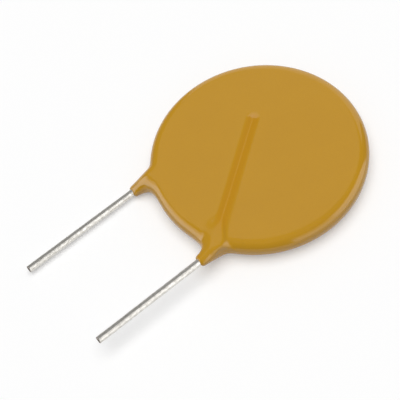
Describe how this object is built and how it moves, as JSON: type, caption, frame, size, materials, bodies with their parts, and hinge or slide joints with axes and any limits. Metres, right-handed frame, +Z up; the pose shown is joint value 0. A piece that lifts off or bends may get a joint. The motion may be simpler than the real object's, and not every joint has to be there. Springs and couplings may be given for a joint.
{
  "type": "resettable fuse",
  "caption": "Round epoxy-dipped disc on tinned wire leads: a resettable fuse that limits current when it heats up and recovers when it cools.",
  "frame": {"origin": "on the surface that the fuse lies on, under the middle of its outline", "axes": "+Z up out of the front face, -Y along the bare leads, +X towards the front lead"},
  "size_m": [0.0194, 0.0316, 0.0025],
  "materials": {
    "epoxy_coat": "glossy dipped epoxy, ochre",
    "filled_polymer": "matt black, carbon-filled",
    "electrode_foil": "nickel-plated copper foil, dull",
    "solder": "bright tin solder",
    "tinned_copper": "tinned copper wire, satin, drawn along its length"
  },
  "bodies": {
    "root": {"coating": "epoxy_coat", "ptc_disc": "filled_polymer", "front_foil": "electrode_foil", "rear_foil": "electrode_foil", "front_solder": "solder", "rear_solder": "solder", "front_lead": "tinned_copper", "rear_lead": "tinned_copper"}
  },
  "joints": []
}
